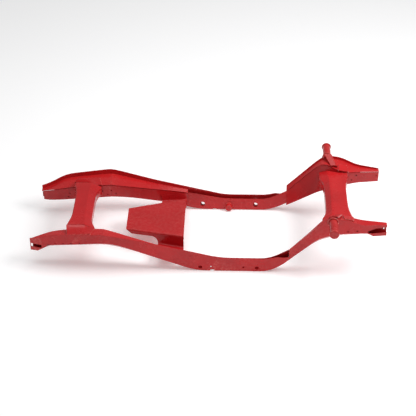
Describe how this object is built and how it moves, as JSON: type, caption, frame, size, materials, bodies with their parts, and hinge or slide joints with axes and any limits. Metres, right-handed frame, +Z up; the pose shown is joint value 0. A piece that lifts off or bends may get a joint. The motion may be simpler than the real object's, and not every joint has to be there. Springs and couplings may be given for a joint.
{
  "type": "ladder frame chassis",
  "caption": "Bare welded steel ladder frame for a small vehicle: dropped box side rails, flared crossmembers, a tunnel plate and stub tubes, in gloss red paint.",
  "frame": {"origin": "middle of the frame's bounding box, on the underside of the low middle run of the side rails", "axes": "+X towards the end with the high arms and the stub tubes, +Y to the left side, +Z up"},
  "size_m": [2.422, 1.0926, 0.468],
  "materials": {
    "frame_paint": "gloss"
  },
  "bodies": {
    "root": {"arm_top_plate_left": "frame_paint", "arm_top_plate_right": "frame_paint", "front_crossmember": "frame_paint", "front_crossmember_floor": "frame_paint", "front_shoe_left": "frame_paint", "front_shoe_right": "frame_paint", "horn_top_plate_left": "frame_paint", "horn_top_plate_right": "frame_paint", "inner_channel_front_left": "frame_paint", "inner_channel_front_right": "frame_paint", "inner_channel_mid_left": "frame_paint", "inner_channel_mid_right": "frame_paint", "inner_channel_rear_left": "frame_paint", "inner_channel_rear_right": "frame_paint", "outer_plate_front_left": "frame_paint", "outer_plate_front_right": "frame_paint", "outer_plate_rear_left": "frame_paint", "outer_plate_rear_right": "frame_paint", "rear_crossmember": "frame_paint", "rear_crossmember_floor": "frame_paint", "rear_shoe_left": "frame_paint", "rear_shoe_right": "frame_paint", "stub_cap_left": "frame_paint", "stub_cap_right": "frame_paint", "stub_collar_left": "frame_paint", "stub_collar_right": "frame_paint", "stub_gusset_left": "frame_paint", "stub_gusset_right": "frame_paint", "stub_tube_left": "frame_paint", "stub_tube_right": "frame_paint", "taper_top_plate_left": "frame_paint", "taper_top_plate_right": "frame_paint", "tunnel_plate": "frame_paint", "web_boss_left": "frame_paint", "web_boss_right": "frame_paint"}
  },
  "joints": []
}
